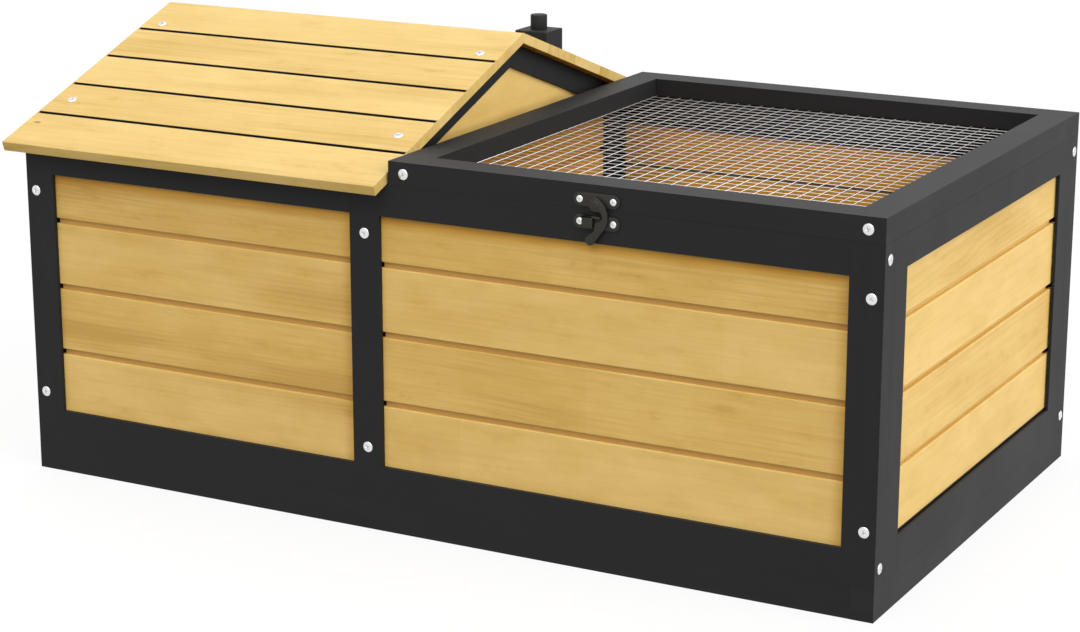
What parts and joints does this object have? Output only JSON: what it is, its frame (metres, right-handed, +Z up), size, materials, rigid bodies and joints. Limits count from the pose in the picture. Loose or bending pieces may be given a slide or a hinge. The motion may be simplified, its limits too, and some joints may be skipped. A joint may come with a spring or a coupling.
{
  "type": "tortoise house",
  "caption": "Low wooden tortoise house with a gabled sleeping end, a boarded run under a hinged wire-mesh lid, a swing-hook latch and a small chimney.",
  "frame": {"origin": "on the ground under the middle of the overall box", "axes": "+X along the body from the gabled house to the mesh run, +Y from the latch side to the hinge side, +Z up"},
  "size_m": [0.8612, 0.5356, 0.419],
  "materials": {
    "black_timber": "matt black paint",
    "pine_wall": "clear yellow wood oil",
    "pine_roof": "clear yellow wood oil",
    "floor_ply": "plain plywood",
    "zinc_screw": "bright zinc",
    "galvanised_wire": "galvanised",
    "latch_bronze": "dark bronze lacquer",
    "hinge_black": "black lacquer"
  },
  "bodies": {
    "house": {"back_bottom_rail": "black_timber", "back_house_boards": "pine_wall", "back_house_top_rail": "black_timber", "back_left_stile": "black_timber", "back_middle_stile": "black_timber", "back_right_stile": "black_timber", "back_roof_boards": "pine_roof", "back_run_boards": "pine_wall", "back_run_top_rail": "black_timber", "chimney_block": "black_timber", "chimney_pipe": "black_timber", "floor_panel": "floor_ply", "frame_fitting_screws": "zinc_screw", "frame_screws": "zinc_screw", "front_bottom_rail": "black_timber", "front_house_boards": "pine_wall", "front_house_top_rail": "black_timber", "front_left_stile": "black_timber", "front_middle_stile": "black_timber", "front_right_stile": "black_timber", "front_roof_boards": "pine_roof", "front_run_boards": "pine_wall", "front_run_top_rail": "black_timber", "hinge_frame_leaves": "hinge_black", "hinge_pins": "hinge_black", "latch_catch_plate": "latch_bronze", "left_end_back_stile": "black_timber", "left_end_boards": "pine_wall", "left_end_bottom_rail": "black_timber", "left_end_front_stile": "black_timber", "left_end_top_rail": "black_timber", "left_gable_board": "pine_wall", "left_gable_rafters": "black_timber", "partition_boards": "pine_wall", "partition_door_rail": "black_timber", "partition_uprights": "black_timber", "plinth_back_board": "black_timber", "plinth_front_board": "black_timber", "plinth_left_board": "black_timber", "plinth_right_board": "black_timber", "right_end_back_stile": "black_timber", "right_end_boards": "pine_wall", "right_end_bottom_rail": "black_timber", "right_end_front_stile": "black_timber", "right_end_top_rail": "black_timber", "right_gable_board": "pine_wall", "right_gable_rafters": "black_timber", "roof_screws": "zinc_screw"},
    "lid": {"lid_front_rail": "black_timber", "lid_back_rail": "black_timber", "lid_left_rail": "black_timber", "lid_right_rail": "black_timber", "lid_mesh": "galvanised_wire", "lid_screws": "zinc_screw", "hinge_lid_leaves": "hinge_black", "lid_fitting_screws": "zinc_screw", "latch_hook_plate": "latch_bronze", "latch_rivet": "latch_bronze"},
    "hook": {"latch_hook": "latch_bronze"}
  },
  "joints": [
    {"name": "lid_hinge", "type": "hinge", "parent": "house", "child": "lid", "pos_m": [0.2015, 0.2503, 0.3172], "axis": [-1, 0, 0], "range_deg": [0, 180]},
    {"name": "latch_pivot", "type": "hinge", "parent": "lid", "child": "hook", "pos_m": [0.1759, -0.2511, 0.3228], "axis": [0, -1, 0], "range_deg": [0, 100]}
  ]
}
